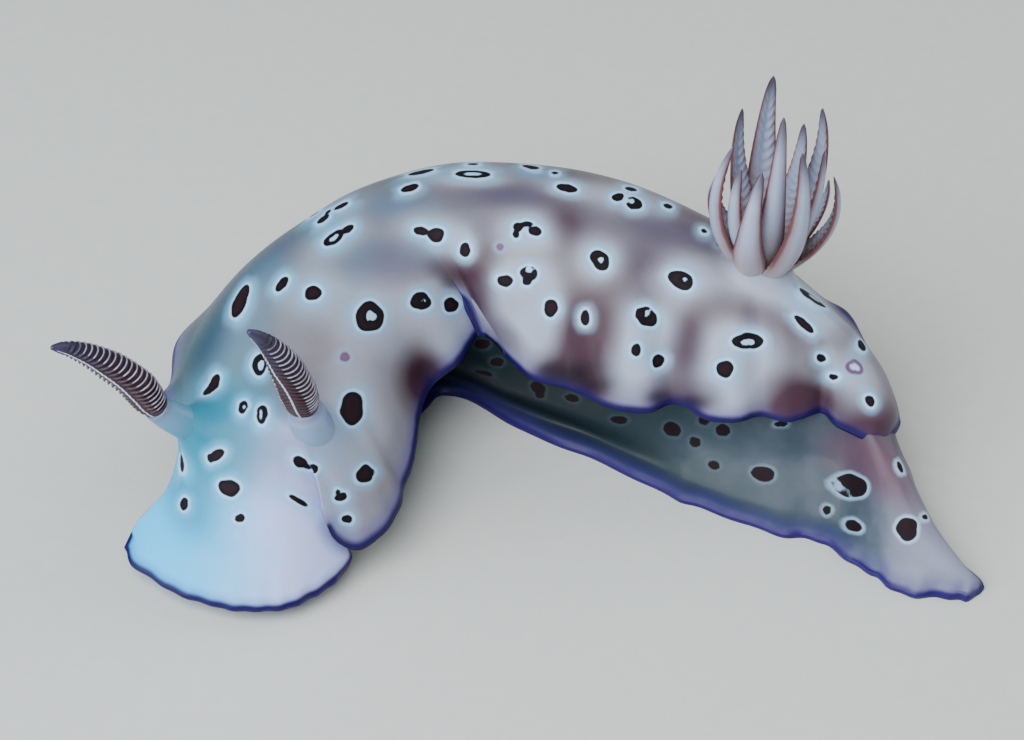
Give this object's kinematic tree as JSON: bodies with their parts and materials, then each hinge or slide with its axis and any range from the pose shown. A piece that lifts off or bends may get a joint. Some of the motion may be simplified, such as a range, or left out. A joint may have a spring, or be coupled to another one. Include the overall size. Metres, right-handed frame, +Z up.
{
  "type": "life-size model of a Hypselodoris tryoni sea slug",
  "caption": "Still life-size model of the nudibranch Hypselodoris tryoni: long spotted mantle in a bend, wavy margins, lamellate feelers and an upright gill.",
  "frame": {"origin": "on the flat sole of the foot, under the middle of the back", "axes": "+Z up, the sole flat on z = 0; -Y is the way the head faces; +X runs from the head's side to the tail's side of the bent body"},
  "size_m": [0.0509, 0.0296, 0.0251],
  "materials": {
    "mantle": "moist cream-lilac skin with purple-black spots in white haloes and an indigo margin",
    "foot": "moist pale lilac skin with a few dark spots and a soft violet border",
    "head": "moist whitish translucent skin",
    "feeler_stalk": "translucent bluish-white skin",
    "feeler_club": "dark maroon lamellae with white edges and a white midline",
    "gill": "translucent whitish plumes with reddish-brown lines"
  },
  "bodies": {
    "root": {"anal_papilla": "head", "foot_back": "foot", "foot_front_lip": "foot", "foot_neck": "foot", "foot_rump": "foot", "foot_tail": "foot", "gill_cup": "mantle", "gill_plume_01": "gill", "gill_plume_02": "gill", "gill_plume_03": "gill", "gill_plume_04": "gill", "gill_plume_05": "gill", "gill_plume_06": "gill", "gill_plume_07": "gill", "gill_plume_08": "gill", "gill_plume_09": "gill", "gill_plume_10": "gill", "gill_plume_11": "gill", "gill_plume_12": "gill", "gill_plume_13": "gill", "head": "head", "mantle_back": "mantle", "mantle_hood": "mantle", "mantle_neck": "mantle", "mantle_rump": "mantle", "oral_tentacle_left": "head", "oral_tentacle_right": "head", "rhinophore_club_left": "feeler_club", "rhinophore_club_right": "feeler_club", "rhinophore_sheath_left": "feeler_stalk", "rhinophore_sheath_right": "feeler_stalk", "rhinophore_stalk_left": "feeler_stalk", "rhinophore_stalk_right": "feeler_stalk"}
  },
  "joints": []
}
